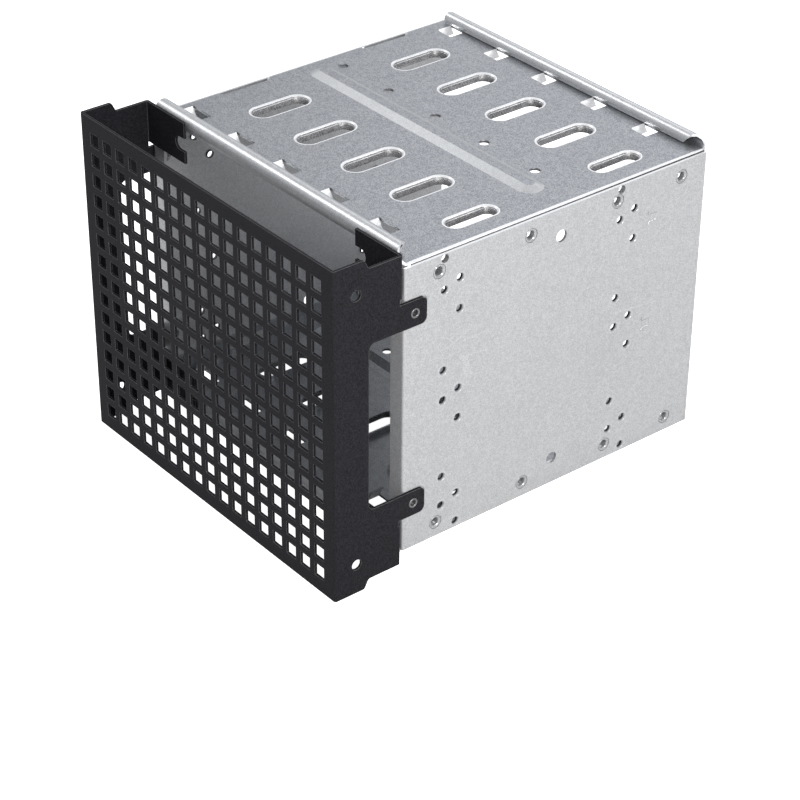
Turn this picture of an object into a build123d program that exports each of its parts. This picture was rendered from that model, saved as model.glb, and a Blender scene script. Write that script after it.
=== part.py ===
from build123d import *
import math
import os

# Hard drive cage: five 3.5 inch drives stand on edge between a top and a bottom panel, in the room of
# three 5.25 inch bays, with a fan's space and a perforated grille in front. All sizes are millimetres.
# The pieces are drawn in the cage's frame: x to the right from the middle, y to the back from the front
# edge of the side panels, z up from their bottom edge.

# Cage
sheet = 1.0
cage_width = 146.0
cage_height = 113.4
cage_depth = 137.1
bend_radius = 1.2
half_width = cage_width / 2
half_inside = half_width - sheet

# Top and bottom panels: each has a rolled front and rear edge, which fall back at the right end
panel_flange = 8.6
panel_flange_setback = 2.0
roll_lip_angle = 300
roll_crest_setback = 4.9
roll_lip_setback = 8.7
front_roll_inner_radius = 2.3
front_roll_centre = 3.35
front_roll_left_inset = 1.5
rear_roll_inner_radius = 1.63
rear_roll_centre = cage_depth - 0.14
rear_roll_left_inset = 3.0
rib_length = cage_width - 20.0
rib_width = 10.3
rib_height = 1.6
rib_centre = (-3.0, 69.6)
rib_slope = 63.4

# Drive lines: each drive's screw holes lie on one of these, between its front and rear stops
drive_pitch = 27.25
drive_count = 5
first_drive_line = 11.0 - half_width
drive_screw_place = 79.2
drive_screw_diameter = 4.0
front_stop_place = 12.1
front_stop_size = (11.2, 6.4)
front_stop_offset = -0.7
front_stop_reach = 6.4
rear_stop_place = rear_roll_centre - 5.2
rear_stop_size = (8.2, 7.4)
rear_stop_offset = 0.4
rear_stop_reach = 3.4
stop_angle = 55
stop_side_gap = 0.5

# Drawn slots: rows of oblong openings between the drive lines, whose rims go down into the cage
slot_rows = (39.9, cage_depth - 31.2)
slot_length = 25.5
slot_width = 9.5
slot_offset = 13.4
edge_slot_centre = -half_width - 1.0
last_slot_centre = half_width - 13.9
last_slot_length = 22.5
last_slot_width = 8.0
slot_rim_radius = 0.9
collar_wall = 0.8
collar_depth = 3.2

# Side panels
side_edge_inset = 0.6
side_lip = 7.0
side_lip_inset = 1.5
bay_pitch = 43.25
bay_count = int(cage_height // 37)
device_hole_diameter = 3.2
device_hole_pitch_y = 79.24
device_hole_pitch_z = 11.93
front_column = 17.2
front_column_height = 12.6
rear_column = 24.0
rear_column_height = 3.2
plain_hole_diameter = 4.7
plain_hole_places = ((68.9, cage_height - 11.3), (68.9, 11.3))

# Panel rivets: hollow and flush
rivet_places = (14.9, 55.0, 94.9, cage_depth - 11.7)
rivet_inset = 6.5
rivet_head_diameter = 5.4
rivet_head_depth = 0.4
rivet_shank_diameter = 3.4
rivet_mouth_diameter = 4.3
rivet_bore_diameter = 2.3
rivet_flare_diameter = 5.0
rivet_flare_thickness = 0.6

# Front grille
grille_height = 130.0
grille_rise = 0.6
grille_depth = 29.8
grille_bend_radius = 1.0
grille_hole = 5.2
grille_pitch = 8.1
grille_rim = 3.5
step_height = grille_height - 7.2
step_start = 12.8
step_end = 14.6
step_round = 1.2
ear_gap = 1.0
ear_reach = 24.1
ear_height = 16.2
tab_centre = 37.9
tab_width = 10.0
tab_length = 9.3
tab_corner = 2.4
tab_root = 2.4
window_front = 15.1
window_corner = 2.5
relief_depth = 2.2
pocket_depth = 0.4
pocket_gap = 0.5
side_hole_place = 20.4
side_hole_spread = grille_height / 2 - 11.9
side_hole_diameter = 4.1

# Notches for the fan's screws, on the pattern of a 120 mm fan
fan_screw_pitch = 105.0
fan_notch_width = 5.2

# Grille rivets
tab_rivet_place = 4.3
tab_rivet_head_diameter = 3.8
tab_rivet_head_height = 0.3
tab_rivet_shank_diameter = 2.9
tab_rivet_bore_diameter = 1.8
tab_rivet_flare_diameter = 4.2
tab_rivet_flare_thickness = 0.6

# Flats that stand for an arc: round an oblong's end, and round a rivet
oblong_end_flats = 8
rivet_flats = 12

# Sizes that follow from the ones above
grille_face_gap = sheet - pocket_depth
grille_half_width = half_width + grille_face_gap
grille_columns = int((2 * grille_half_width - 2 * grille_rim) // grille_pitch)
grille_rows = int((grille_height - 2 * grille_rim) // grille_pitch)
grille_centre = cage_height / 2 + grille_rise
drive_lines = [first_drive_line + i * drive_pitch for i in range(drive_count)]
overall_depth = grille_depth + rear_roll_centre + rear_roll_inner_radius + sheet
cage_bottom = grille_height / 2 - grille_centre
cage_front = grille_depth - overall_depth / 2
part_frame = Location((0, cage_front, cage_bottom))
tool = 2 * sheet
reach = 12 * sheet


def mirrored_left(solid):
    return mirror(solid, Plane.YZ)


def mirrored_down(solid):
    return mirror(solid, Plane.XY.offset(cage_height / 2))


def both_sides(solids):
    return solids + [mirrored_left(solid) for solid in solids]


def across(sketch, start, end):
    """A YZ outline as a solid between two x positions."""
    return Pos(start, 0, 0) * extrude(Plane.YZ * sketch, end - start)


def oblong(length, width):
    """An oblong along y, its ends drawn as flats that touch the true arc."""
    step = 180 / oblong_end_flats
    corner_radius = width / 2 / math.cos(math.radians(step / 2))
    corners = []
    for end in (1, -1):
        for i in range(oblong_end_flats):
            angle = math.radians(step * (i + 0.5))
            x = corner_radius * math.cos(angle)
            y = (length - width) / 2 + corner_radius * math.sin(angle)
            corners.append((end * x, end * y))
    return Polygon(*corners, align=None)


def rivet_round(diameter):
    """The outline of a rivet, drawn as flats that touch the true circle."""
    return RegularPolygon(diameter / 2, rivet_flats, major_radius=False)


def side_bore(y, z, outline, depth):
    """A cutter through the right side, from outside it inward."""
    return Pos(half_width + sheet, y, z) * Rot(0, -90, 0) * extrude(outline, depth + sheet)


def roll_outline(centre_y, inner_radius, to_the_back):
    """The rolled edge in section: a ring left open over the panel, where its lip ends."""
    gap_angle = math.radians(360 - roll_lip_angle)
    gap = Polygon(
        (0, 0),
        (0, -reach),
        (-reach, -reach),
        (-reach * math.sin(gap_angle), -reach * math.cos(gap_angle)),
        align=None,
    )
    ring = Circle(inner_radius + sheet) - Circle(inner_radius) - gap
    if not to_the_back:
        ring = mirror(ring, Plane.YZ)
    return Pos(centre_y, cage_height + inner_radius) * ring


def roll_end_cut(centre_y, inner_radius, to_the_back):
    """What a roll lacks at its right end, which falls back from the panel's edge round to the lip."""
    crest = cage_height + 2 * inner_radius + sheet
    crest_end = (half_inside - roll_crest_setback, crest)
    above = [(crest_end[0], crest + tool), (half_width + tool, crest + tool)]
    base = [(half_width + tool, cage_height - sheet), (half_inside, cage_height - sheet)]
    outer = Polygon(crest_end, *above, *base, align=None)
    lip_end = (half_inside - roll_lip_setback, cage_height)
    inner = Polygon(crest_end, *above, (half_width + tool, cage_height), lip_end, align=None)
    outward = reach if to_the_back else -reach
    outer_cut = Pos(0, centre_y, 0) * extrude(Plane.XZ * outer, -outward)
    inner_cut = Pos(0, centre_y, 0) * extrude(Plane.XZ * inner, outward)
    return [outer_cut, inner_cut]


def front_roll():
    ring = roll_outline(front_roll_centre, front_roll_inner_radius, False)
    roll = across(ring, front_roll_left_inset - half_inside, half_inside)
    return roll - roll_end_cut(front_roll_centre, front_roll_inner_radius, False)


def rear_roll():
    ring = roll_outline(rear_roll_centre, rear_roll_inner_radius, True)
    roll = across(ring, rear_roll_left_inset - half_inside, half_inside)
    return roll - roll_end_cut(rear_roll_centre, rear_roll_inner_radius, True)


def panel_channel():
    """The flat of the panel with a flange turned down along each side."""
    flat = Pos(0, front_roll_centre, cage_height) * Box(
        2 * half_inside,
        rear_roll_centre - front_roll_centre,
        panel_flange,
        align=(Align.CENTER, Align.MIN, Align.MAX),
    )
    top_edges = flat.edges().filter_by(Axis.Y).group_by(Axis.Z)[-1]
    flat = fillet(top_edges, bend_radius)
    hollow = Pos(0, 0, cage_height - sheet) * Box(
        2 * (half_inside - sheet),
        4 * cage_depth,
        2 * panel_flange,
        align=(Align.CENTER, Align.CENTER, Align.MAX),
    )
    rear_relief = Pos(0, cage_depth - panel_flange_setback, cage_height - bend_radius) * Box(
        cage_width, reach, 2 * panel_flange, align=(Align.CENTER, Align.MIN, Align.MAX)
    )
    return flat - hollow - rear_relief


def slots():
    """Centre, length and width of each drawn slot of one row."""
    row = [(edge_slot_centre, slot_length, slot_width)]
    row += [(line + slot_offset, slot_length, slot_width) for line in drive_lines[:-1]]
    row += [(last_slot_centre, last_slot_length, last_slot_width)]
    return row


def add_slots(panel):
    inside = Pos(0, 0, cage_height) * Box(2 * (half_inside - sheet), 4 * cage_depth, 4 * collar_depth)
    collars = []
    throats = []
    for row in slot_rows:
        for x, length, width in slots():
            throat_length = length - 2 * slot_rim_radius
            throat_width = width - 2 * slot_rim_radius
            place = Pos(x, row, cage_height)
            wall = oblong(throat_length + 2 * collar_wall, throat_width + 2 * collar_wall)
            collars.append(place * extrude(wall, -collar_depth))
            throat = extrude(oblong(throat_length, throat_width), -2 * collar_depth)
            rim = extrude(oblong(length, width), -slot_rim_radius, taper=45)
            throats.append(place * (throat + rim))
    panel = panel + [collar & inside for collar in collars]
    return panel - throats


def rib():
    """A pressed rib: the sheet stands up along it, just as thick, and is hollow beneath."""
    slope = math.radians(rib_slope)
    inset = sheet * (1 - math.sin(slope)) / math.cos(slope)
    place = Pos(*rib_centre, cage_height) * Rot(0, 0, 90)
    outside = extrude(oblong(rib_length, rib_width), rib_height, taper=rib_slope)
    hollow = extrude(oblong(rib_length - 2 * inset, rib_width - 2 * inset), rib_height, taper=rib_slope)
    return place * outside, place * Pos(0, 0, -sheet) * hollow


def stop_tab(left, place, width, length):
    """A tongue lanced from the sheet and bent down at its left end."""
    angle = math.radians(stop_angle)
    tip = (length * math.cos(angle), -length * math.sin(angle))
    outline = Polygon(
        (-sheet, 0),
        (0, 0),
        tip,
        (tip[0] - sheet * math.sin(angle), tip[1] - sheet * math.cos(angle)),
        (-sheet, -sheet),
        align=None,
    )
    tongue = extrude(Plane.XZ * outline, width / 2, both=True)
    return Pos(left, place, cage_height) * tongue


def add_stops(panel):
    openings = []
    tongues = []
    rows = (
        (front_stop_place, front_stop_size, front_stop_offset, front_stop_reach),
        (rear_stop_place, rear_stop_size, rear_stop_offset, rear_stop_reach),
    )
    for place, size, offset, length in rows:
        for line in drive_lines:
            centre = line + offset
            openings.append(Pos(centre, place, cage_height - sheet / 2) * Box(*size, tool))
            tongues.append(stop_tab(centre - size[0] / 2, place, size[1] - 2 * stop_side_gap, length))
    return panel - openings + tongues


def drive_screw_holes():
    hole = Cylinder(drive_screw_diameter / 2, 2 * tool)
    return [Pos(x, drive_screw_place, cage_height) * hole for x in drive_lines]


def device_holes():
    """Two columns of holes for each bay, as a 5.25 inch device has them."""
    places = []
    for column, height in ((front_column, front_column_height), (rear_column, rear_column_height)):
        for bay in range(bay_count):
            for row in range(2):
                z = height + bay * bay_pitch + row * device_hole_pitch_z
                places += [(column, z), (column + device_hole_pitch_y, z)]
    return places


def top_panel():
    """The top panel; its flanges stay clear of every side hole whichever way up it is used."""
    panel = panel_channel() + front_roll() + rear_roll()
    panel = add_slots(panel)
    rib_outside, rib_inside = rib()
    panel = panel + rib_outside - rib_inside
    panel = add_stops(panel) - drive_screw_holes()
    shank = rivet_round(rivet_shank_diameter)
    clearance = rivet_round(device_hole_diameter)
    cutters = [side_bore(y, cage_height - rivet_inset, shank, 2 * sheet) for y in rivet_places]
    for y, z in device_holes():
        for level in (z, cage_height - z):
            if level > cage_height - panel_flange:
                cutters.append(side_bore(y, level, clearance, 2 * sheet))
    return panel - both_sides(cutters)


def rivet_seat(y, z):
    """The counterbored hole of a panel rivet."""
    sink = side_bore(y, z, rivet_round(rivet_head_diameter), rivet_head_depth)
    return sink + side_bore(y, z, rivet_round(rivet_shank_diameter), sheet)


def tab_heights():
    return [grille_centre + tab_centre, grille_centre - tab_centre]


def tab_outline(margin):
    """The part of a grille tab that lies over the side panel, grown by a margin."""
    length = tab_length + margin
    outline = Pos(length / 2, 0) * Rectangle(length, tab_width + 2 * margin)
    rear_corners = outline.vertices().group_by(Axis.X)[-1]
    return fillet(rear_corners, tab_corner + margin)


def side_panel():
    """The right side panel."""
    height = cage_height - 2 * side_edge_inset
    plate = Pos(half_width, 0, side_edge_inset) * Box(
        sheet, cage_depth, height, align=(Align.MAX, Align.MIN, Align.MIN)
    )
    lip = Pos(half_width, 0, side_lip_inset) * Box(
        side_lip, sheet, cage_height - 2 * side_lip_inset, align=(Align.MAX, Align.MIN, Align.MIN)
    )
    panel = plate + lip
    front_edge = panel.edges().filter_by(Axis.Z).group_by(Axis.Y)[0].sort_by(Axis.X)[-1]
    panel = fillet(front_edge, bend_radius)
    for z in tab_heights():
        back = Pos(0, 0, z) * across(tab_outline(pocket_gap + sheet), half_inside - pocket_depth, half_inside)
        front = Pos(0, 0, z) * across(tab_outline(pocket_gap), half_width - pocket_depth, half_width + sheet)
        panel = panel + (back - Pos(half_inside, 0, z) * Box(tool, 2 * sheet, cage_height)) - front
        panel = panel - side_bore(tab_rivet_place, z, rivet_round(tab_rivet_shank_diameter), 2 * sheet)
    cutters = [side_bore(y, z, Circle(device_hole_diameter / 2), sheet) for y, z in device_holes()]
    cutters += [rivet_seat(y, z) for y in rivet_places for z in (rivet_inset, cage_height - rivet_inset)]
    cutters += [side_bore(y, z, Circle(plain_hole_diameter / 2), sheet) for y, z in plain_hole_places]
    return panel - cutters


def grille_side_outline():
    """A side flange of the grille, flat, with the window cut in from its rear edge."""
    half = grille_height / 2
    half_step = step_height / 2
    outline = Polygon(
        (-grille_depth, -half),
        (step_start - grille_depth, -half),
        (step_end - grille_depth, -half_step),
        (-ear_gap, -half_step),
        (-ear_gap, half_step),
        (step_end - grille_depth, half_step),
        (step_start - grille_depth, half),
        (-grille_depth, half),
        align=None,
    )
    step_corners = [v for v in outline.vertices() if sheet - grille_depth < v.X < -ear_gap - sheet]
    outline = fillet(step_corners, step_round)
    window = Pos(-window_front, 0) * Rectangle(
        window_front + sheet, 2 * tab_centre - tab_width, align=(Align.MIN, Align.CENTER)
    )
    window = fillet(window.vertices().group_by(Axis.X)[0], window_corner)
    outline = outline - window
    tab_edge = tab_centre + tab_width / 2
    for side in (1, -1):
        slit = Pos(-relief_depth, side * tab_edge) * Rectangle(
            relief_depth + sheet,
            half_step - ear_height - tab_edge,
            align=(Align.MIN, Align.MIN if side > 0 else Align.MAX),
        )
        root = Rectangle(tab_root, tab_width, align=(Align.MAX, Align.CENTER))
        outline = outline - slit + Pos(0, side * tab_centre) * (tab_outline(0) + root)
    return Pos(0, grille_centre) * outline


def ear(side):
    """An ear turned in from the flange, with an open notch for a fan screw."""
    plate = Pos(grille_half_width, side * step_height / 2) * Rectangle(
        ear_reach, ear_height, align=(Align.MAX, Align.MAX if side > 0 else Align.MIN)
    )
    notch_place = Pos(fan_screw_pitch / 2, side * fan_screw_pitch / 2)
    notch_end = notch_place * Circle(fan_notch_width / 2)
    notch_way = notch_place * Rectangle(ear_reach, fan_notch_width, align=(Align.MAX, Align.CENTER))
    face = Pos(0, grille_centre) * (plate - notch_end - notch_way)
    return Pos(0, -ear_gap, 0) * extrude(Plane.XZ * face, sheet)


def front_grille():
    face = Rectangle(2 * grille_half_width, grille_height)
    holes = GridLocations(grille_pitch, grille_pitch, grille_columns, grille_rows) * Rectangle(
        grille_hole, grille_hole
    )
    plate = Pos(0, sheet - grille_depth, grille_centre) * extrude(Plane.XZ * (face - holes), sheet)
    flange = across(grille_side_outline(), grille_half_width - sheet, grille_half_width)
    right = flange + ear(1) + ear(-1)
    grille = plate + right + mirrored_left(right)
    near = sheet / 10
    upright = grille.edges().filter_by(Axis.Z)
    corners = [e for e in upright if abs(abs(e.center().X) - grille_half_width) < near]
    front = [e for e in corners if abs(e.center().Y + grille_depth) < near]
    rear = [
        e for e in corners if abs(e.center().Y + ear_gap) < near and abs(e.center().Z - grille_centre) > tab_centre
    ]
    grille = fillet(front + rear, grille_bend_radius)
    cutters = []
    for side in (1, -1):
        z = grille_centre + side * side_hole_spread
        cutters.append(side_bore(-side_hole_place, z, Circle(side_hole_diameter / 2), 2 * sheet))
        z = grille_centre + side * tab_centre
        shank = rivet_round(tab_rivet_shank_diameter)
        cutters.append(side_bore(tab_rivet_place, z, shank, sheet + grille_face_gap))
    return grille - both_sides(cutters)


def panel_rivet():
    """A hollow rivet along x, its mouth at x = 0 and its flare inside the cage."""
    stack = 2 * sheet
    head = extrude(rivet_round(rivet_head_diameter), -rivet_head_depth)
    shank = extrude(rivet_round(rivet_shank_diameter), -stack)
    flare = Pos(0, 0, -stack) * extrude(rivet_round(rivet_flare_diameter), -rivet_flare_thickness)
    mouth = extrude(rivet_round(rivet_mouth_diameter), -rivet_head_depth / 2)
    bore = extrude(rivet_round(rivet_bore_diameter), -2 * stack)
    return Rot(0, 90, 0) * (head + shank + flare - mouth - bore)


def grille_rivet():
    """A hollow rivet through a grille tab and the side panel behind it."""
    stack = 2 * sheet
    head = extrude(rivet_round(tab_rivet_head_diameter), tab_rivet_head_height)
    shank = extrude(rivet_round(tab_rivet_shank_diameter), -stack)
    flare = Pos(0, 0, -stack) * extrude(rivet_round(tab_rivet_flare_diameter), -tab_rivet_flare_thickness)
    bore = extrude(rivet_round(tab_rivet_bore_diameter), 2 * stack, both=True)
    return Rot(0, 90, 0) * (head + shank + flare - bore)


def build():
    top = top_panel()
    side = side_panel()
    nodes = {
        "top_panel": top,
        "bottom_panel": mirrored_down(top),
        "right_side_panel": side,
        "left_side_panel": mirrored_left(side),
        "front_grille": front_grille(),
    }
    for level, z in (("top", cage_height - rivet_inset), ("bottom", rivet_inset)):
        for number, y in enumerate(rivet_places, start=1):
            rivet = Pos(half_width, y, z) * panel_rivet()
            nodes[f"rivet_right_{level}_{number}"] = rivet
            nodes[f"rivet_left_{level}_{number}"] = mirrored_left(rivet)
    for level, z in zip(("top", "bottom"), tab_heights()):
        rivet = Pos(grille_half_width, tab_rivet_place, z) * grille_rivet()
        nodes[f"grille_rivet_right_{level}"] = rivet
        nodes[f"grille_rivet_left_{level}"] = mirrored_left(rivet)
    return nodes


os.makedirs("parts", exist_ok=True)
for name, solid in build().items():
    export_step(part_frame * solid, os.path.join("parts", name + ".step"))
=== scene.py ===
import bpy
import bmesh
import math
from mathutils import Matrix, Vector


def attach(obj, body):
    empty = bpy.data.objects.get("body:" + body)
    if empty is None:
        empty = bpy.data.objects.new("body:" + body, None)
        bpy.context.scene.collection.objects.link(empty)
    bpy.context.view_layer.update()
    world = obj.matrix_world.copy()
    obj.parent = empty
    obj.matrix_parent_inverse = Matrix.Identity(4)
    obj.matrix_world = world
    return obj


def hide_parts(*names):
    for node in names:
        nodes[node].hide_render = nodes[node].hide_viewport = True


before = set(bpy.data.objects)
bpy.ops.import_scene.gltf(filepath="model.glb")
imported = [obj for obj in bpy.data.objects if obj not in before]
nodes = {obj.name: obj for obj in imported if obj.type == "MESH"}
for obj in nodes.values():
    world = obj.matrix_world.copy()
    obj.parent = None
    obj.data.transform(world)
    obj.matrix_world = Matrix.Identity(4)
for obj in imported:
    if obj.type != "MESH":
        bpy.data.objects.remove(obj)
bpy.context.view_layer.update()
print("frame loaded:", len(nodes), "pieces")

scene = bpy.context.scene
mm = 0.001
cageFront = -54.895
cageBottom = 7.7


# cage sizes are in mm, from the side panels' front edge and their bottom edge
def at(x, y, z):
    return Vector((x, y + cageFront, z + cageBottom)) * mm


# camera, where the photograph was taken from
viewpoint = {
    "place": (0.62135, -0.501155, 0.51815),
    "azimuth": 50.95,
    "elevation": 32.34,
    "roll": 0.485,
    "lens": 112.48,
    "sensor": 36,
    "near": 0.01,
}


def makeCamera(values):
    azimuth, elevation, roll = (math.radians(values[k]) for k in ("azimuth", "elevation", "roll"))
    back = Vector((
        math.sin(azimuth) * math.cos(elevation),
        -math.cos(azimuth) * math.cos(elevation),
        math.sin(elevation),
    ))
    level = Vector((math.cos(azimuth), math.sin(azimuth), 0))
    up = back.cross(level)
    right = level * math.cos(roll) + up * math.sin(roll)
    top = up * math.cos(roll) - level * math.sin(roll)
    data = bpy.data.cameras.new("camera")
    data.lens = values["lens"]
    data.sensor_width = values["sensor"]
    data.clip_start = values["near"]
    camera = bpy.data.objects.new("camera", data)
    turn = Matrix((right, top, back)).transposed()
    camera.matrix_world = Matrix.Translation(values["place"]) @ turn.to_4x4()
    scene.collection.objects.link(camera)
    scene.camera = camera


makeCamera(viewpoint)


# shader helpers
def nodeAt(tree, kind, place, **settings):
    node = tree.nodes.new(kind)
    node.location = place
    for name, value in settings.items():
        setattr(node, name, value)
    return node


def joinNodes(tree, *pairs):
    for start, end in pairs:
        tree.links.new(start, end)


def newGroup(name, inputs, outputs):
    group = bpy.data.node_groups.new(name, "ShaderNodeTree")
    for label, kind, value in inputs:
        item = group.interface.new_socket(label, in_out="INPUT", socket_type=kind)
        if value is not None:
            item.default_value = value
    for label, kind in outputs:
        group.interface.new_socket(label, in_out="OUTPUT", socket_type=kind)
    start = nodeAt(group, "NodeGroupInput", (-900, 0))
    end = nodeAt(group, "NodeGroupOutput", (600, 0))
    return group, start, end


def mathNode(tree, operation, place, *values, clamp=False):
    node = nodeAt(tree, "ShaderNodeMath", place, operation=operation, use_clamp=clamp)
    for socket, value in zip(node.inputs, values):
        if isinstance(value, (int, float)):
            socket.default_value = value
        else:
            tree.links.new(value, socket)
    return node.outputs[0]


# zinc coat: fine speckle, small crystals and wide soft clouds
spangleLook = {
    "bendScale": 900,
    "bendShift": 0.001,
    "crystalSoftness": 0.5,
    "cloudScale": 16,
    "crystalShare": 0.07,
    "grainShare": 0.81,
    "cloudShare": 0.12,
}


def makeSpangle(look):
    group, start, end = newGroup(
        "zincSpangle",
        [
            ("Vector", "NodeSocketVector", None),
            ("Size", "NodeSocketFloat", 700.0),
            ("Fine Size", "NodeSocketFloat", 3200.0),
        ],
        [("Tone", "NodeSocketFloat"), ("Grain", "NodeSocketFloat"), ("Clouds", "NodeSocketFloat")],
    )
    bend = nodeAt(group, "ShaderNodeTexNoise", (-700, 200))
    bend.inputs["Scale"].default_value = look["bendScale"]
    bend.inputs["Detail"].default_value = 2
    shift = nodeAt(group, "ShaderNodeVectorMath", (-500, 200), operation="MULTIPLY_ADD")
    shift.inputs[1].default_value = (look["bendShift"],) * 3
    crystals = nodeAt(group, "ShaderNodeTexVoronoi", (-300, 200), feature="SMOOTH_F1")
    crystals.inputs["Smoothness"].default_value = look["crystalSoftness"]
    grain = nodeAt(group, "ShaderNodeTexNoise", (-300, -100))
    grain.inputs["Detail"].default_value = 1
    clouds = nodeAt(group, "ShaderNodeTexNoise", (-300, -350))
    clouds.inputs["Scale"].default_value = look["cloudScale"]
    clouds.inputs["Detail"].default_value = 4
    clouds.inputs["Roughness"].default_value = 0.6
    grey = nodeAt(group, "ShaderNodeSeparateColor", (-80, 200))
    joinNodes(
        group,
        (start.outputs["Vector"], bend.inputs["Vector"]),
        (bend.outputs["Color"], shift.inputs[0]),
        (start.outputs["Vector"], shift.inputs[2]),
        (shift.outputs[0], crystals.inputs["Vector"]),
        (start.outputs["Size"], crystals.inputs["Scale"]),
        (start.outputs["Vector"], grain.inputs["Vector"]),
        (start.outputs["Fine Size"], grain.inputs["Scale"]),
        (start.outputs["Vector"], clouds.inputs["Vector"]),
        (crystals.outputs["Color"], grey.inputs[0]),
    )
    flakes = mathNode(group, "MULTIPLY", (100, 200), grey.outputs[0], look["crystalShare"])
    specks = mathNode(group, "MULTIPLY_ADD", (250, 100), grain.outputs[0], look["grainShare"], flakes)
    tone = mathNode(group, "MULTIPLY_ADD", (400, 0), clouds.outputs[0], look["cloudShare"], specks)
    joinNodes(
        group,
        (tone, end.inputs["Tone"]),
        (grain.outputs[0], end.inputs["Grain"]),
        (clouds.outputs[0], end.inputs["Clouds"]),
    )
    return group


# light marks of handling: thin, faint and far apart
scratchLook = {
    "turn": (0.5, 0.3, 0.8),
    "stretch": (1, 0.12, 1),
    "patchScale": 45,
    "patchLimit": 0.62,
}


def makeScratches(look):
    group, start, end = newGroup(
        "handlingMarks",
        [
            ("Vector", "NodeSocketVector", None),
            ("Size", "NodeSocketFloat", 55.0),
            ("Width", "NodeSocketFloat", 0.006),
        ],
        [("Marks", "NodeSocketFloat")],
    )
    stretch = nodeAt(group, "ShaderNodeMapping", (-700, 100))
    stretch.inputs["Rotation"].default_value = look["turn"]
    stretch.inputs["Scale"].default_value = look["stretch"]
    wave = nodeAt(group, "ShaderNodeTexVoronoi", (-450, 100), feature="DISTANCE_TO_EDGE")
    patch = nodeAt(group, "ShaderNodeTexNoise", (-450, -200))
    patch.inputs["Scale"].default_value = look["patchScale"]
    near = mathNode(group, "LESS_THAN", (-200, 100), wave.outputs["Distance"], start.outputs["Width"])
    some = mathNode(group, "GREATER_THAN", (-200, -200), patch.outputs[0], look["patchLimit"])
    both = mathNode(group, "MULTIPLY", (100, 0), near, some)
    joinNodes(
        group,
        (start.outputs["Vector"], stretch.inputs["Vector"]),
        (stretch.outputs[0], wave.inputs["Vector"]),
        (start.outputs["Size"], wave.inputs["Scale"]),
        (start.outputs["Vector"], patch.inputs["Vector"]),
        (both, end.inputs["Marks"]),
    )
    return group


spangle = makeSpangle(spangleLook)
handlingMarks = makeScratches(scratchLook)


def newMaterial(name):
    material = bpy.data.materials.new(name)
    material.use_nodes = True
    tree = material.node_tree
    shader = tree.nodes["Principled BSDF"]
    place = nodeAt(tree, "ShaderNodeTexCoord", (-1300, 0))
    return material, tree, shader, place.outputs["Object"]


def rampOf(tree, place, stops):
    ramp = nodeAt(tree, "ShaderNodeValToRGB", place)
    elements = ramp.color_ramp.elements
    while len(elements) < len(stops):
        elements.new(0.5)
    for element, (position, colour) in zip(elements, stops):
        element.position = position
        element.color = (*colour, 1)
    return ramp


def mixColours(tree, place, kind, amount, pattern, plain):
    node = nodeAt(tree, "ShaderNodeMix", place, data_type="RGBA", blend_type=kind)
    node.inputs[7].default_value = (*plain, 1)
    joinNodes(tree, (amount, node.inputs[0]), (pattern, node.inputs[6]))
    return node.outputs[2]


# galvanised sheet; past a place on one axis an edge gets a painted highlight: a flat panel's right bend, a side's cut
# top
zincLook = {
    "toneStops": (0.38, 0.62),
    "markStrength": 0.05,
    "roughSpread": 0.16,
    "bumpDistance": 0.0002,
    "paintedEdgeHighlight": (0.74, 0.745, 0.76),
}
# painted shade: the top and bottom sheets' zinc, darker than the sides' though it is the same galvanised zinc
shadedTopZinc = {
    "dark": (0.21, 0.22, 0.24), "light": (0.43, 0.44, 0.46), "rough": 0.4, "bump": 0.12, "metal": 0.85,
    "edge": (0, 0.0705),
}
# painted light: the side panels' zinc, lighter than the top's
litSideZinc = {
    "dark": (0.46, 0.465, 0.475), "light": (0.65, 0.655, 0.665), "rough": 0.42, "bump": 0.1, "metal": 0.7,
    "edge": (2, 0.12045),
}
# painted light: lighter zinc for the rib's slopes, the hole lips and the arrows
litSlopeZinc = {"dark": (0.47, 0.48, 0.495), "light": (0.63, 0.64, 0.65), "rough": 0.36, "bump": 0.1, "metal": 0.5}
# painted light: lighter zinc for the outsides of the rolled edges
litRollZinc = {"dark": (0.46, 0.47, 0.485), "light": (0.64, 0.65, 0.665), "rough": 0.36, "bump": 0.1, "metal": 0.7}
# painted highlight: near-white zinc for the bend, stop tongues, slot rims and the rolls' ends
highlightZinc = {"dark": (0.78, 0.785, 0.80), "light": (0.90, 0.905, 0.92), "rough": 0.3, "bump": 0.05, "metal": 0.4}
# painted shade: darker zinc for the slot collars' walls
shadedWallZinc = {"dark": (0.12, 0.12, 0.125), "light": (0.46, 0.46, 0.47), "rough": 0.45, "bump": 0.1, "metal": 0.7}
# painted shade: near-black zinc in the hole bores and the bend's seam
shadeZinc = {"dark": (0.02, 0.02, 0.022), "light": (0.08, 0.08, 0.082), "rough": 0.5, "bump": 0.1, "metal": 0.6}
rivetZinc = {"dark": (0.42, 0.43, 0.44), "light": (0.54, 0.545, 0.55), "rough": 0.28, "bump": 0.04, "metal": 0.7}
tabZinc = {"dark": (0.17, 0.17, 0.175), "light": (0.28, 0.28, 0.285), "rough": 0.4, "bump": 0.04, "metal": 0.85}


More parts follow.
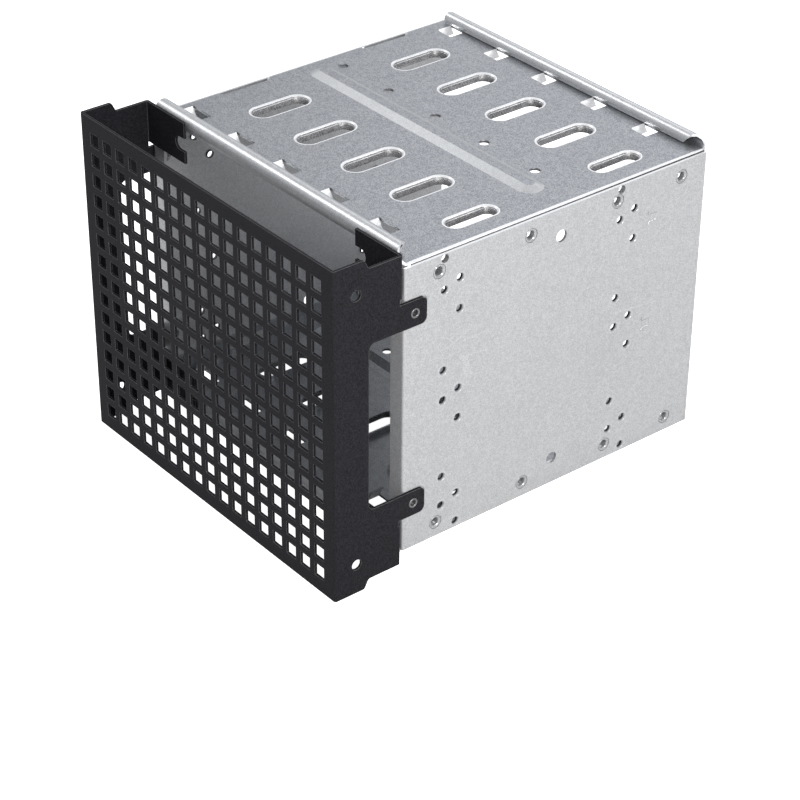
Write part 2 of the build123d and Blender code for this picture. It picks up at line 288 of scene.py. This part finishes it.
def zincMaterial(name, values):
    material, tree, shader, place = newMaterial(name)
    coat = nodeAt(tree, "ShaderNodeGroup", (-1050, 200), node_tree=spangle)
    marks = nodeAt(tree, "ShaderNodeGroup", (-1050, -250), node_tree=handlingMarks)
    tones = (values["dark"], values["light"])
    colour = rampOf(tree, (-700, 300), list(zip(zincLook["toneStops"], tones)))
    faint = mathNode(tree, "MULTIPLY", (-550, 50), marks.outputs[0], zincLook["markStrength"])
    marked = mixColours(tree, (-300, 300), "ADD", faint, colour.outputs[0], (1.0, 1.0, 1.0))
    spread = zincLook["roughSpread"]
    lowest = values["rough"] - spread / 2
    rough = mathNode(tree, "MULTIPLY_ADD", (-550, -100), coat.outputs["Clouds"], spread, lowest)
    bump = nodeAt(tree, "ShaderNodeBump", (-300, -250))
    bump.inputs["Strength"].default_value = values["bump"]
    bump.inputs["Distance"].default_value = zincLook["bumpDistance"]
    joinNodes(
        tree,
        (place, coat.inputs["Vector"]),
        (place, marks.inputs["Vector"]),
        (coat.outputs["Tone"], colour.inputs[0]),
        (marked, shader.inputs["Base Color"]),
        (rough, shader.inputs["Roughness"]),
        (coat.outputs["Grain"], bump.inputs["Height"]),
        (bump.outputs[0], shader.inputs["Normal"]),
    )
    # painted highlight: past the place the colour turns near-white
    if "edge" in values:
        axis, limit = values["edge"]
        split = nodeAt(tree, "ShaderNodeSeparateXYZ", (-1050, 550))
        joinNodes(tree, (place, split.inputs[0]))
        highlightMask = mathNode(tree, "GREATER_THAN", (-650, 550), split.outputs[axis], limit)
        highlight = mixColours(tree, (-100, 450), "MIX", highlightMask, marked, zincLook["paintedEdgeHighlight"])
        joinNodes(tree, (highlight, shader.inputs["Base Color"]))
    shader.inputs["Metallic"].default_value = values["metal"]
    return material


# black powder coat: fine grain, with a painted highlight along its edges
blackCoat = {
    "dark": (0.010, 0.0098, 0.0118),
    "light": (0.027, 0.0262, 0.0312),
    "toneStops": (0.35, 0.7),
    "rubbed": (0.19, 0.19, 0.195),
    "rubbedReach": 0.0003,
    "rubbedGain": 5.0,
    "rough": 0.5,
    "roughSpread": 0.14,
    "gloss": 0.06,
    "grain": 2100.0,
    "patches": 30,
    "bump": 0.35,
    "bumpDistance": 0.0001,
}


def coatMaterial(name, values):
    material, tree, shader, place = newMaterial(name)
    grain = nodeAt(tree, "ShaderNodeTexNoise", (-900, 100))
    grain.inputs["Scale"].default_value = values["grain"]
    grain.inputs["Detail"].default_value = 3
    patch = nodeAt(tree, "ShaderNodeTexNoise", (-900, -200))
    patch.inputs["Scale"].default_value = values["patches"]
    tones = (values["dark"], values["light"])
    colour = rampOf(tree, (-600, 200), list(zip(values["toneStops"], tones)))
    spread = values["roughSpread"]
    lowest = values["rough"] - spread / 2
    rough = mathNode(tree, "MULTIPLY_ADD", (-600, -100), patch.outputs[0], spread, lowest)
    bump = nodeAt(tree, "ShaderNodeBump", (-400, -300))
    bump.inputs["Strength"].default_value = values["bump"]
    bump.inputs["Distance"].default_value = values["bumpDistance"]
    soft = nodeAt(tree, "ShaderNodeBevel", (-1100, -450), samples=4)
    soft.inputs["Radius"].default_value = values["rubbedReach"]
    flat = nodeAt(tree, "ShaderNodeNewGeometry", (-1100, -650))
    along = nodeAt(tree, "ShaderNodeVectorMath", (-900, -550), operation="DOT_PRODUCT")
    gain = values["rubbedGain"]
    # painted highlight: lighter coat where the bevel normal leaves the face normal
    edge = mathNode(tree, "MULTIPLY_ADD", (-700, -550), along.outputs["Value"], -gain, gain, clamp=True)
    rubbed = mixColours(tree, (-200, 200), "MIX", edge, colour.outputs[0], values["rubbed"])
    joinNodes(
        tree,
        (soft.outputs[0], bump.inputs["Normal"]),
        (soft.outputs[0], along.inputs[0]),
        (flat.outputs["Normal"], along.inputs[1]),
        (place, grain.inputs["Vector"]),
        (place, patch.inputs["Vector"]),
        (grain.outputs[0], colour.inputs[0]),
        (rubbed, shader.inputs["Base Color"]),
        (rough, shader.inputs["Roughness"]),
        (grain.outputs[0], bump.inputs["Height"]),
        (bump.outputs[0], shader.inputs["Normal"]),
    )
    shader.inputs["Specular IOR Level"].default_value = values["gloss"]
    return material


shadedTopSteel = zincMaterial("galvanisedTopShaded", shadedTopZinc)
litSideSteel = zincMaterial("galvanisedSideLit", litSideZinc)
rivetSteel = zincMaterial("rivetZinc", rivetZinc)
tabSteel = zincMaterial("tabRivetZinc", tabZinc)
highlightSteel = zincMaterial("highlightZinc", highlightZinc)
litSlopeSteel = zincMaterial("litSlopeZinc", litSlopeZinc)
shadedWallSteel = zincMaterial("shadedWallZinc", shadedWallZinc)
litRollSteel = zincMaterial("litRollZinc", litRollZinc)
shadeSteel = zincMaterial("shadeZinc", shadeZinc)
powderCoat = coatMaterial("blackPowderCoat", blackCoat)
print("materials made")


def finish(node, material):
    for slot in node.material_slots:
        slot.material = material
    if not node.material_slots:
        node.data.materials.append(material)


for name, node in nodes.items():
    if name == "front_grille":
        finish(node, powderCoat)
    elif name.endswith("side_panel"):
        finish(node, litSideSteel)
    elif name.endswith("panel"):
        finish(node, shadedTopSteel)
    else:
        finish(node, rivetSteel)
print("pieces finished")


# details: each is made once and set out by Geometry Nodes
detailSharpness = math.radians(60)


def circleLoop(radius, height, steps=48):
    turns = [2 * math.pi * i / steps for i in range(steps)]
    return [(radius * math.cos(a), radius * math.sin(a), height) for a in turns]


def oblongLoop(length, width, height, steps=32):
    points = []
    for end in (1, -1):
        for i in range(steps // 2 + 1):
            turn = 2 * math.pi * i / steps
            x = width / 2 * math.cos(turn)
            y = (length - width) / 2 + width / 2 * math.sin(turn)
            points.append((end * x, end * y, height))
    return points


# loops of points, each joined to the next and the last to the first
def loopMesh(name, loops):
    count = len(loops[0])
    faces = []
    for i in range(len(loops)):
        k = (i + 1) % len(loops)
        for j in range(count):
            m = (j + 1) % count
            faces.append((i * count + j, i * count + m, k * count + m, k * count + j))
    mesh = bpy.data.meshes.new(name)
    mesh.from_pydata([Vector(p) * mm for loop in loops for p in loop], [], faces)
    shape = bmesh.new()
    shape.from_mesh(mesh)
    bmesh.ops.recalc_face_normals(shape, faces=shape.faces)
    shape.to_mesh(mesh)
    shape.free()
    mesh.polygons.foreach_set("use_smooth", [True] * len(mesh.polygons))
    mesh.set_sharp_from_angle(angle=detailSharpness)
    return mesh


def makeCopier():
    group = bpy.data.node_groups.new("placeCopies", "GeometryNodeTree")
    for label, kind in (("Places", "Geometry"), ("Piece", "Object"), ("Finish", "Material")):
        group.interface.new_socket(label, in_out="INPUT", socket_type="NodeSocket" + kind)
    group.interface.new_socket("Copies", in_out="OUTPUT", socket_type="NodeSocketGeometry")
    start = nodeAt(group, "NodeGroupInput", (-800, 0))
    end = nodeAt(group, "NodeGroupOutput", (500, 0))
    source = nodeAt(group, "GeometryNodeObjectInfo", (-550, -100))
    turn = nodeAt(group, "GeometryNodeInputNamedAttribute", (-750, -300), data_type="FLOAT_VECTOR")
    turn.inputs["Name"].default_value = "turn"
    turned = nodeAt(group, "FunctionNodeEulerToRotation", (-500, -300))
    copies = nodeAt(group, "GeometryNodeInstanceOnPoints", (-250, 0))
    real = nodeAt(group, "GeometryNodeRealizeInstances", (0, 0))
    coated = nodeAt(group, "GeometryNodeSetMaterial", (250, 0))
    joinNodes(
        group,
        (start.outputs["Places"], copies.inputs["Points"]),
        (start.outputs["Piece"], source.inputs["Object"]),
        (source.outputs["Geometry"], copies.inputs["Instance"]),
        (turn.outputs["Attribute"], turned.inputs[0]),
        (turned.outputs[0], copies.inputs["Rotation"]),
        (copies.outputs[0], real.inputs[0]),
        (real.outputs[0], coated.inputs["Geometry"]),
        (start.outputs["Finish"], coated.inputs["Material"]),
        (coated.outputs[0], end.inputs[0]),
    )
    return group


copier = makeCopier()
sockets = {item.name: item.identifier for item in copier.interface.items_tree}

facing = {
    "right": (0, math.pi / 2, 0),
    "left": (0, -math.pi / 2, 0),
    "top": (0, 0, 0),
    "bottom": (math.pi, 0, 0),
}


# places are (side, x, y, z) in cage sizes
def setOut(name, mesh, places, material):
    points = bpy.data.meshes.new(name)
    points.from_pydata([at(*place[1:]) for place in places], [], [])
    turns = points.attributes.new("turn", "FLOAT_VECTOR", "POINT")
    for value, place in zip(turns.data, places):
        value.vector = facing[place[0]]
    piece = bpy.data.objects.new(name, points)
    scene.collection.objects.link(piece)
    source = bpy.data.objects.new(name + "Source", mesh)
    modifier = piece.modifiers.new("copies", "NODES")
    modifier.node_group = copier
    modifier[sockets["Piece"]] = source
    modifier[sockets["Finish"]] = material
    depsgraph = bpy.context.evaluated_depsgraph_get()
    made = bpy.data.meshes.new_from_object(piece.evaluated_get(depsgraph))
    piece.modifiers.remove(modifier)
    piece.data = made
    bpy.data.objects.remove(source)
    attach(piece, "root")
    print(name, "set out:", len(places), "copies,", len(made.polygons), "faces")
    return piece


cage = {"width": 146.0, "height": 113.4, "grilleHalf": 73.6}
halfWidth = cage["width"] / 2


def bothSides(places, x=halfWidth):
    return [(side, sign * x, y, z) for side, sign in (("right", 1), ("left", -1)) for y, z in places]


# top and bottom panels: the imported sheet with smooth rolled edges, whose right ends fall back toward the lip
rolls = {
    "front": {"centre": 3.35, "inner": 2.3, "left": -70.5, "way": -1},
    "rear": {"centre": 136.96, "inner": 1.63, "left": -69.0, "way": 1},
    "turn": 300,
    "steps": 40,
    "right": 72.0,
    "setback": 8.4,
}

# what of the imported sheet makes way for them: all past the ends, and near each end what stands above the flat
rollRoom = {"ends": (3.345, 136.965), "near": (8, 132), "above": 0.02}

sheets = (
    # name, node, level of the outer face, way out
    ("topSheet", "top_panel", cage["height"], 1),
    ("bottomSheet", "bottom_panel", 0.0, -1),
)

# finishes of the sheets: flat is the darker top zinc, highlight a painted highlight, roll and slope painted light, dark
# painted shade
sheetFinishes = {"flat": shadedTopSteel, "highlight": highlightSteel, "roll": litRollSteel, "dark": shadeSteel, "slope": litSlopeSteel}
finishIndex = {name: index for index, name in enumerate(sheetFinishes)}

# where a finish lies: y from the front edge, z outward from the outer face; lean is 1 on a level face, 0 on an upright
finishPlaces = {
    "bend": {"outside": 70.75, "z": (-1.25, -0.01), "lean": 0.05, "seam": -0.36},
    "rib": {"y": (60, 80), "base": 0.1, "lean": 0.96},
    "stops": {"inside": 70, "z": (-6, -0.2), "none": (20, 122)},
    "rims": {"y": (20, 125), "z": (-0.9, -0.05)},
    "highlightLean": (0.2, 0.8),
}
sheetSharpness = math.radians(16)


def rollOf(shape, roll, level, up):
    rings = []
    for i in range(rolls["steps"] + 1):
        share = i / rolls["steps"]
        turn = math.radians(rolls["turn"]) * share
        right = rolls["right"] - rolls["setback"] * share
        ring = []
        for radius, x in ((1, roll["left"]), (1, right), (0, right), (0, roll["left"])):
            radius += roll["inner"]
            y = roll["centre"] + roll["way"] * radius * math.sin(turn)
            z = roll["inner"] - radius * math.cos(turn)
            ring.append(shape.verts.new(at(x, y, level + up * z)))
        rings.append(ring)
    faces = [shape.faces.new(rings[0]), shape.faces.new(rings[-1])]
    for first, second in zip(rings, rings[1:]):
        # the outside gets painted light, the right end a painted highlight
        # outside, right end, inside, left end
        for j, kind in enumerate(("roll", "highlight", "flat", "roll")):
            k = (j + 1) % 4
            faces.append(shape.faces.new((first[j], first[k], second[k], second[j])))
            faces[-1].material_index = finishIndex[kind]
    # the lip's end face gets a painted highlight
    faces[1].material_index = finishIndex["highlight"]
    bmesh.ops.recalc_face_normals(shape, faces=faces)


def within(value, limits):
    return limits[0] < value < limits[1]


def finishOf(face, level, up):
    middle = face.calc_center_median() / mm
    x, y, z = middle.x, middle.y - cageFront, up * (middle.z - cageBottom - level)
    lean = abs(face.normal.z)
    bend, rib, stops, rims = (finishPlaces[name] for name in ("bend", "rib", "stops", "rims"))
    # painted highlight on the bend above the seam, painted shade in the seam below it
    if x > bend["outside"] and within(z, bend["z"]) and lean > bend["lean"]:
        return "highlight" if z > bend["seam"] else "dark"
    # painted light on the rib's slopes
    if within(y, rib["y"]) and z > rib["base"] and lean < rib["lean"]:
        return "slope"
    # painted highlight on the slanted faces of the stop tongues and slot rims
    onStop = abs(x) < stops["inside"] and within(z, stops["z"]) and not within(y, stops["none"])
    onRim = within(z, rims["z"]) and within(y, rims["y"])
    return "highlight" if within(lean, finishPlaces["highlightLean"]) and (onStop or onRim) else "flat"


def inRollRoom(face, level, up):
    middle = face.calc_center_median() / mm
    y, z = middle.y - cageFront, up * (middle.z - cageBottom - level)
    return not rollRoom["ends"][0] <= y <= rollRoom["ends"][1] or (
        z > rollRoom["above"] and not rollRoom["near"][0] <= y <= rollRoom["near"][1]
    )


def makeSheet(name, node, level, up):
    mesh = nodes[node].data.copy()
    mesh.name = name
    mesh.materials.clear()
    for material in sheetFinishes.values():
        mesh.materials.append(material)
    shape = bmesh.new()
    shape.from_mesh(mesh)
    bmesh.ops.remove_doubles(shape, verts=shape.verts, dist=1e-7)
    gone = [face for face in shape.faces if inRollRoom(face, level, up)]
    bmesh.ops.delete(shape, geom=gone, context="FACES")
    shape.normal_update()
    for face in shape.faces:
        face.material_index = finishIndex[finishOf(face, level, up)]
    for roll in (rolls["front"], rolls["rear"]):
        rollOf(shape, roll, level, up)
    shape.to_mesh(mesh)
    shape.free()
    if "custom_normal" in mesh.attributes:
        mesh.attributes.remove(mesh.attributes["custom_normal"])
    mesh.polygons.foreach_set("use_smooth", [True] * len(mesh.polygons))
    mesh.set_sharp_from_angle(angle=sheetSharpness)
    piece = bpy.data.objects.new(name, mesh)
    scene.collection.objects.link(piece)
    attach(piece, "root")
    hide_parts(node)
    print(name, "made:", len(gone), "faces gone,", len(mesh.polygons), "faces")


for sheet in sheets:
    makeSheet(*sheet)


# drawn slots: a rounded rim with a painted highlight, and the collar's wall below it in painted shade
slotRims = {
    "centres": (-48.6, -21.35, 5.9, 33.15),
    "rows": (39.9, 105.9),
    "size": (25.5, 9.5),
    "lastCentre": 59.1,
    "lastSize": (22.5, 8.0),
    "rim": (
        (-0.52, 0.0), (-0.5, 0.012), (-0.34, 0.03), (-0.15, 0.02), (0.04, -0.02), (0.2, -0.16), (0.42, -0.38),
        (0.46, -0.44), (0.42, -0.5), (0.0, -0.2),
    ),
    "wall": (
        (0.42, -0.34), (0.5, -0.43), (0.68, -0.61), (0.78, -0.77), (0.84, -1.05), (0.84, -3.15), (0.95, -3.15),
        (0.95, -1.1), (0.6, -0.75),
    ),
}


def slotLoops(length, width, section):
    return [oblongLoop(length - 2 * inset, width - 2 * inset, z) for inset, z in section]


def setOutRims(values):
    rows = [("slot", values["size"], values["centres"]), ("endSlot", values["lastSize"], (values["lastCentre"],))]
    for name, size, centres in rows:
        places = [("top", x, y, cage["height"]) for x in centres for y in values["rows"]]
        places += [("bottom", x, y, 0.0) for x in centres for y in values["rows"]]
        rim = loopMesh(name + "Rims", slotLoops(size[0] - 0.5, size[1], values["rim"]))
        setOut(name + "Rims", rim, places, highlightSteel)
        # the collar's wall in painted shade
        wall = loopMesh(name + "Walls", slotLoops(*size, values["wall"]))
        setOut(name + "Walls", wall, places, shadedWallSteel)


setOutRims(slotRims)


# holes: a raised lip round each device hole, lighter as painted light, with a near-black sleeve in its bore as painted
# shade, and a soft edge round each drive screw hole
deviceHoles = {
    "columns": ((17.2, 12.6), (24.0, 3.2)),
    "bayPitch": 43.25,
    "pitchY": 79.24,
    "pitchZ": 11.93,
    "highest": 110,
    "lip": (
        (1.4, -0.9), (1.42, -0.55), (1.5, -0.25), (1.62, -0.02), (1.76, 0.1), (1.9, 0.13), (2.05, 0.1), (2.2, 0.05),
        (2.4, 0.0), (2.4, -0.1), (1.9, -0.3), (1.58, -0.9),
    ),
    "bore": ((1.3, -0.7), (1.38, -0.6), (1.46, -0.7), (1.56, -1.0), (1.56, -1.5), (1.3, -1.5)),
}
screwHoles = {
    "lines": (-62.0, -34.75, -7.5, 19.75, 47.0),
    "place": 79.2,
    "edge": (
        (1.95, -0.9), (1.95, -0.3), (1.98, -0.12), (2.06, -0.03), (2.2, 0.006), (2.3, 0.006), (2.3, -0.1), (2.1, -0.9),
    ),
}


def deviceHolePlaces(values):
    places = []
    for column, height in values["columns"]:
        for bay in range(3):
            for row in range(2):
                z = height + bay * values["bayPitch"] + row * values["pitchZ"]
                places += [(column, z), (column + values["pitchY"], z)]
    # the topmost holes lie in the bend of the panel behind and have no lip
    return [place for place in places if place[1] < values["highest"]]


def setOutHoles():
    places = bothSides(deviceHolePlaces(deviceHoles))
    lip = loopMesh("holeLips", [circleLoop(*point) for point in deviceHoles["lip"]])
    setOut("holeLips", lip, places, litSlopeSteel)
    # a near-black sleeve in each bore: painted shade
    bore = loopMesh("holeBores", [circleLoop(*point) for point in deviceHoles["bore"]])
    setOut("holeBores", bore, places, shadeSteel)
    edge = loopMesh("screwHoleEdges", [circleLoop(*point) for point in screwHoles["edge"]])
    places = [("top", x, screwHoles["place"], cage["height"]) for x in screwHoles["lines"]]
    places += [("bottom", x, screwHoles["place"], 0.0) for x in screwHoles["lines"]]
    setOut("screwHoleEdges", edge, places, shadedTopSteel)


setOutHoles()


# hollow rivets, turned in one piece with their flare
panelRivets = {
    "places": (14.9, 55.0, 94.9, 125.4),
    "heights": (6.5, 106.9),
    "section": (
        (1.5, -2.0), (1.5, -1.0), (1.54, -0.6), (1.64, -0.35), (1.8, -0.18), (2.0, -0.06), (2.2, 0.01), (2.38, 0.02),
        (2.5, -0.03), (2.55, -0.12), (2.56, -0.36), (1.68, -0.38), (1.68, -2.0),
        (2.5, -2.02), (2.56, -2.2), (2.45, -2.45), (2.25, -2.58), (2.0, -2.62), (1.75, -2.54), (1.55, -2.3),
    ),
}
grilleRivets = {
    "place": 4.3,
    "heights": (19.4, 95.2),
    "section": (
        (1.1, -1.8), (1.1, -0.3), (1.14, -0.05), (1.24, 0.12), (1.38, 0.22), (1.52, 0.25), (1.68, 0.2), (1.8, 0.1),
        (1.86, 0.0), (1.86, -0.1), (1.45, -0.2), (1.45, -2.0), (2.1, -2.02), (2.16, -2.2), (2.05, -2.45),
        (1.8, -2.6), (1.5, -2.64), (1.25, -2.5), (1.12, -2.2),
    ),
}


def setOutRivets():
    heads = loopMesh("panelRivets", [circleLoop(*point) for point in panelRivets["section"]])
    places = bothSides([(y, z) for y in panelRivets["places"] for z in panelRivets["heights"]])
    piece = setOut("panelRivets", heads, places, rivetSteel)
    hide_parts(*[name for name in nodes if name.startswith("rivet_")])
    heads = loopMesh("grilleRivets", [circleLoop(*point) for point in grilleRivets["section"]])
    places = bothSides([(grilleRivets["place"], z) for z in grilleRivets["heights"]], cage["grilleHalf"])
    piece = setOut("grilleRivets", heads, places, tabSteel)
    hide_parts(*[name for name in nodes if name.startswith("grille_rivet_")])


setOutRivets()


# arrows pressed into the side panels, pointing to the front, in lighter zinc as painted light
arrows = {
    "outline": (
        (107.8, 0.0), (110.3, 2.8), (110.3, 1.4), (114.0, 1.4), (114.0, -1.4), (110.3, -1.4), (110.3, -2.8),
    ),
    "heights": (95.2, 51.95),
    "ridge": 0.17,
}


def makeArrows(values):
    curve = bpy.data.curves.new("pressedArrows", "CURVE")
    curve.dimensions = "3D"
    curve.bevel_depth = values["ridge"] * mm
    curve.bevel_resolution = 2
    for x in (halfWidth, -halfWidth):
        for height in values["heights"]:
            line = curve.splines.new("POLY")
            line.points.add(len(values["outline"]) - 1)
            for point, (y, z) in zip(line.points, values["outline"]):
                point.co = (*at(x, y, height + z), 1)
            line.use_cyclic_u = True
    source = bpy.data.objects.new("pressedArrowsSource", curve)
    scene.collection.objects.link(source)
    depsgraph = bpy.context.evaluated_depsgraph_get()
    mesh = bpy.data.meshes.new_from_object(source.evaluated_get(depsgraph))
    bpy.data.objects.remove(source)
    mesh.materials.clear()
    mesh.materials.append(litSlopeSteel)
    piece = bpy.data.objects.new("pressedArrows", mesh)
    scene.collection.objects.link(piece)
    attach(piece, "root")


makeArrows(arrows)
print("details made")


# room and light
studio = {
    "floorSize": 6.0,
    "floorDrop": 0.0002,
    "floorColour": (0.8, 0.8, 0.8),
    "floorRough": 0.9,
    "floorGlow": 1.0,
    "worldColour": (0.96, 0.975, 1.0),
    "worldStrength": 0.55,
}

lamps = {
    "keyLamp": {
        "place": (0.8, -0.25, 0.6), "aim": (0.07, -0.05, 0.06), "width": 0.3, "power": 6.8, "colour": (1.0, 0.99, 0.97),
    },
    "edgeLamp": {
        "place": (0.95, 0.95, 1.2), "aim": (0.0, 0.0, 0.06), "width": 0.4, "power": 2.5, "colour": (1.0, 1.0, 1.0),
    },
    "rearLamp": {
        "place": (-0.9, 1.2, 1.3), "aim": (0.0, 0.0, 0.06), "width": 1.2, "power": 5.0, "colour": (0.97, 0.98, 1.0),
    },
    "frontLamp": {
        "place": (-1.15, -0.4, 1.28), "aim": (0.0, -0.02, 0.06), "width": 0.5, "power": 5.0, "colour": (1.0, 1.0, 1.0),
    },
}


def makeLamps(rows):
    for name, values in rows.items():
        data = bpy.data.lights.new(name, "AREA")
        data.size = values["width"]
        data.energy = values["power"]
        data.color = values["colour"]
        lamp = bpy.data.objects.new(name, data)
        turn = (Vector(values["place"]) - Vector(values["aim"])).to_track_quat("Z", "Y")
        lamp.matrix_world = Matrix.Translation(values["place"]) @ turn.to_matrix().to_4x4()
        scene.collection.objects.link(lamp)


def makeFloor(values):
    half = values["floorSize"] / 2
    mesh = bpy.data.meshes.new("floor")
    mesh.from_pydata([(-half, -half, 0), (half, -half, 0), (half, half, 0), (-half, half, 0)], [], [(0, 1, 2, 3)])
    floor = bpy.data.objects.new("floor", mesh)
    floor.location.z = -values["floorDrop"]
    scene.collection.objects.link(floor)
    material, tree, shader, place = newMaterial("paleFloor")
    shader.inputs["Base Color"].default_value = (*values["floorColour"], 1)
    shader.inputs["Roughness"].default_value = values["floorRough"]
    shader.inputs["Emission Color"].default_value = (1, 1, 1, 1)
    rays = nodeAt(tree, "ShaderNodeLightPath", (-600, -300))
    glow = mathNode(tree, "MULTIPLY", (-300, -300), rays.outputs["Is Camera Ray"], values["floorGlow"])
    tree.links.new(glow, shader.inputs["Emission Strength"])
    mesh.materials.append(material)


def makeWorld(values):
    world = bpy.data.worlds.new("studio")
    scene.world = world
    world.use_nodes = True
    tree = world.node_tree
    tree.nodes.clear()
    soft = nodeAt(tree, "ShaderNodeBackground", (-200, 100))
    soft.inputs[0].default_value = (*values["worldColour"], 1)
    soft.inputs[1].default_value = values["worldStrength"]
    white = nodeAt(tree, "ShaderNodeBackground", (-200, -100))
    white.inputs[0].default_value = (1, 1, 1, 1)
    rays = nodeAt(tree, "ShaderNodeLightPath", (-500, 200))
    mix = nodeAt(tree, "ShaderNodeMixShader", (50, 0))
    out = nodeAt(tree, "ShaderNodeOutputWorld", (250, 0))
    joinNodes(
        tree,
        (rays.outputs["Is Camera Ray"], mix.inputs[0]),
        (soft.outputs[0], mix.inputs[1]),
        (white.outputs[0], mix.inputs[2]),
        (mix.outputs[0], out.inputs[0]),
    )


makeLamps(lamps)
makeFloor(studio)
makeWorld(studio)
scene.view_settings.view_transform = "Standard"
print("room and light made")
